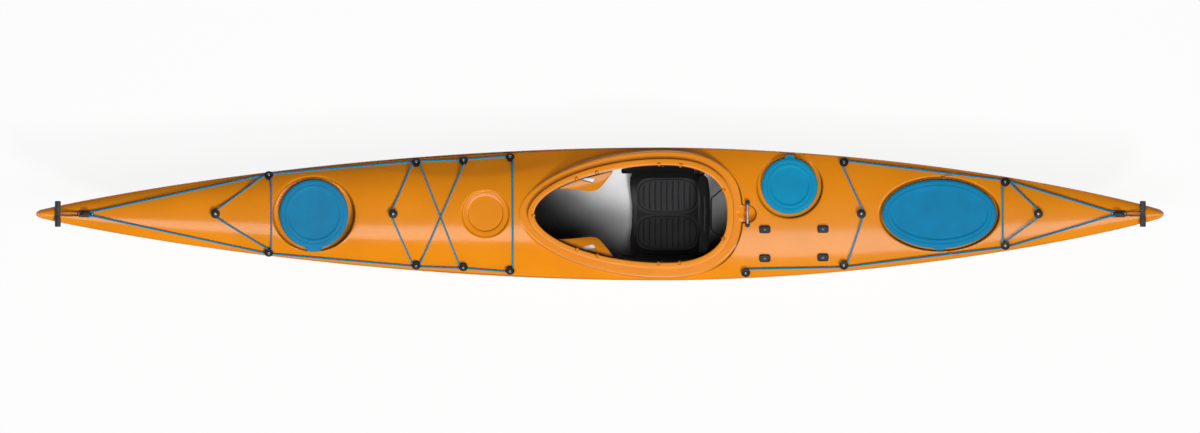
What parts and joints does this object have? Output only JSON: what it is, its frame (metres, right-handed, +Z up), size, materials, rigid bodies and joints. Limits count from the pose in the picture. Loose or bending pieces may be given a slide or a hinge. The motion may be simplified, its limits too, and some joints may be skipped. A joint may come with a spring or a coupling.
{
  "type": "sea kayak",
  "caption": "Long slender sea kayak with a rimmed cockpit, rubber-lidded cargo hatches, sealed holds, padded seat, sliding foot rests and cord-laced decks.",
  "frame": {"origin": "centre of the boat in plan, at the lowest line of the keel", "axes": "+X from the bow to the stern, +Y to starboard, +Z up"},
  "size_m": [5.0031, 0.5898, 0.4197],
  "materials": {
    "orange_gelcoat": "smooth polished gelcoat over a laminated shell",
    "seam_tape": "glossy tape band over the seam",
    "laminate": "bare laminate with a faint weave",
    "black_plastic": "moulded, finely grained",
    "bow_lid_rubber": "soft rubber, satin",
    "day_lid_rubber": "soft rubber, satin",
    "stern_lid_rubber": "soft rubber, satin",
    "seat_fabric": "padded fabric with sewn channels",
    "blue_cord": "braided cord",
    "black_cord": "braided cord",
    "aluminium_rail": "anodised",
    "stainless": "polished bar"
  },
  "bodies": {
    "boat": {"hull_shell": "orange_gelcoat", "deck_shell": "orange_gelcoat", "seam_band": "seam_tape", "cockpit_coaming": "orange_gelcoat", "bow_bulkhead": "laminate", "aft_bulkhead": "laminate", "day_bulkhead": "laminate", "bow_hatch_rim": "black_plastic", "day_hatch_rim": "black_plastic", "stern_hatch_rim": "black_plastic", "seat_shell": "black_plastic", "seat_pad": "seat_fabric", "thigh_brace_port": "orange_gelcoat", "thigh_brace_starboard": "orange_gelcoat", "foot_rail_port": "aluminium_rail", "foot_rail_starboard": "aluminium_rail", "bow_ridge_fitting": "black_plastic", "bow_fitting_starboard": "black_plastic", "bow_fitting_port": "black_plastic", "foredeck_ridge_fitting": "black_plastic", "foredeck_front_fitting_starboard": "black_plastic", "foredeck_front_fitting_port": "black_plastic", "foredeck_middle_fitting_starboard": "black_plastic", "foredeck_middle_fitting_port": "black_plastic", "foredeck_rear_fitting_starboard": "black_plastic", "foredeck_rear_fitting_port": "black_plastic", "quarter_fitting_port": "black_plastic", "afterdeck_fitting_starboard": "black_plastic", "afterdeck_fitting_port": "black_plastic", "afterdeck_ridge_fitting": "black_plastic", "stern_fitting_starboard": "black_plastic", "stern_fitting_port": "black_plastic", "stern_ridge_fitting": "black_plastic", "bow_deckline": "blue_cord", "stern_deckline_port": "blue_cord", "stern_deckline_starboard": "blue_cord", "bow_triangle_bungee": "blue_cord", "bow_cross_bungee": "blue_cord", "afterdeck_bungee": "blue_cord", "stern_triangle_bungee": "blue_cord", "bow_pad_eye": "black_plastic", "stern_pad_eye": "black_plastic", "security_bar": "stainless", "strap_eye_front_inner": "black_plastic", "strap_eye_front_outer": "black_plastic", "strap_eye_rear_inner": "black_plastic", "strap_eye_rear_outer": "black_plastic"},
    "bow_hatch_lid": {"bow_hatch_lid": "bow_lid_rubber"},
    "day_hatch_lid": {"day_hatch_lid": "day_lid_rubber"},
    "stern_hatch_lid": {"stern_hatch_lid": "stern_lid_rubber"},
    "bow_toggle": {"bow_toggle": "black_plastic", "bow_toggle_cord": "black_cord"},
    "stern_toggle": {"stern_toggle": "black_plastic", "stern_toggle_cord": "black_cord"},
    "foot_pedal_port": {"foot_pedal_port": "black_plastic"},
    "foot_pedal_starboard": {"foot_pedal_starboard": "black_plastic"},
    "backband": {"backband": "seat_fabric", "backband_cord": "black_cord"}
  },
  "joints": [
    {"name": "bow_hatch_lift", "type": "slide", "parent": "boat", "child": "bow_hatch_lid", "axis": [0.0263, 0, 0.9997], "range_m": [0, 0.3]},
    {"name": "day_hatch_lift", "type": "slide", "parent": "boat", "child": "day_hatch_lid", "axis": [-0.0022, 0.0699, 0.9975], "range_m": [0, 0.3]},
    {"name": "stern_hatch_lift", "type": "slide", "parent": "boat", "child": "stern_hatch_lid", "axis": [-0.059, 0, 0.9983], "range_m": [0, 0.3]},
    {"name": "bow_toggle_swing", "type": "hinge", "parent": "boat", "child": "bow_toggle", "pos_m": [-2.28761, 0, 0.387], "axis": [0, 1, 0], "range_deg": [0, 75]},
    {"name": "stern_toggle_swing", "type": "hinge", "parent": "boat", "child": "stern_toggle", "pos_m": [2.30688, -0.00002, 0.35895], "axis": [0, -1, 0], "range_deg": [0, 75]},
    {"name": "foot_pedal_port_slide", "type": "slide", "parent": "boat", "child": "foot_pedal_port", "axis": [1, 0, 0], "range_m": [-0.15, 0.15]},
    {"name": "foot_pedal_starboard_slide", "type": "slide", "parent": "boat", "child": "foot_pedal_starboard", "axis": [1, 0, 0], "range_m": [-0.15, 0.15]},
    {"name": "backband_tilt", "type": "hinge", "parent": "boat", "child": "backband", "pos_m": [0.453, 0, 0.093], "axis": [0, -1, 0], "range_deg": [-8, 40], "deforming": ["backband_cord"]}
  ]
}
